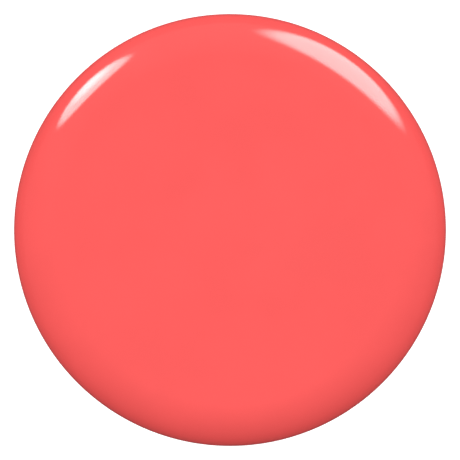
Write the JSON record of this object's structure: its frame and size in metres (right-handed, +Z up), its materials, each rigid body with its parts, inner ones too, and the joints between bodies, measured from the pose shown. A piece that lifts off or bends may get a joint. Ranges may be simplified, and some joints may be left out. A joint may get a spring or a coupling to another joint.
{
  "type": "nail polish bottle",
  "caption": "Round clear glass nail polish bottle with a slim brush cap, a pull-off metal overcap and a domed glossy coral shade button on top.",
  "frame": {"origin": "centre of the face that the bottle stands on", "axes": "+Z up along the bottle's axis; the thread rises anticlockwise about +Z, and the mixing balls rest on the +Y and -Y sides"},
  "size_m": [0.031, 0.031, 0.0717],
  "materials": {
    "clear_glass": "clear polished flint glass",
    "label_paper": "blank matt white paper",
    "coral_polish": "opaque coral liquid",
    "ball_steel": "polished stainless steel",
    "wiper_plastic": "natural milky polyethylene",
    "liner_foam": "white closed-cell foam",
    "cap_plastic": "satin white polypropylene",
    "stem_plastic": "satin white polyethylene",
    "staple_brass": "bright drawn brass",
    "bristle_nylon": "black nylon filaments",
    "insert_plastic": "natural white polypropylene",
    "weight_steel": "turned steel",
    "shell_aluminium": "satin anodised silver",
    "adhesive_film": "milky acrylic adhesive film",
    "coral_lacquer": "high-gloss coral lacquer"
  },
  "bodies": {
    "bottle": {"glass_bottle": "clear_glass", "base_label": "label_paper", "polish": "coral_polish", "neck_wiper": "wiper_plastic"},
    "ball_1": {"mixing_ball_1": "ball_steel"},
    "ball_2": {"mixing_ball_2": "ball_steel"},
    "liner": {"cap_liner": "liner_foam"},
    "brush_cap": {"inner_cap": "cap_plastic", "brush_stem": "stem_plastic", "bristle_staple": "staple_brass", "bristle_tuft": "bristle_nylon"},
    "overcap": {"overcap_insert": "insert_plastic", "cap_weight": "weight_steel", "overcap_shell": "shell_aluminium", "button_adhesive": "adhesive_film", "shade_button": "coral_lacquer"}
  },
  "joints": [
    {"name": "cap_lift", "type": "slide", "parent": "bottle", "child": "liner", "axis": [0, 0, 1], "range_m": [0, 0.048]},
    {"name": "cap_turn", "type": "hinge", "parent": "liner", "child": "brush_cap", "pos_m": [0, 0, 0.0496], "axis": [0, 0, 1], "range_deg": [0, 540]},
    {"name": "overcap_pull", "type": "slide", "parent": "brush_cap", "child": "overcap", "axis": [0, 0, 1], "range_m": [0, 0.028]},
    {"name": "ball_1_roll", "type": "hinge", "parent": "bottle", "child": "ball_1", "pos_m": [0, 0, 0.0076], "axis": [0, 0, 1], "range_deg": [-75, 75]},
    {"name": "ball_2_roll", "type": "hinge", "parent": "bottle", "child": "ball_2", "pos_m": [0, 0, 0.0076], "axis": [0, 0, 1], "range_deg": [-75, 75]}
  ]
}
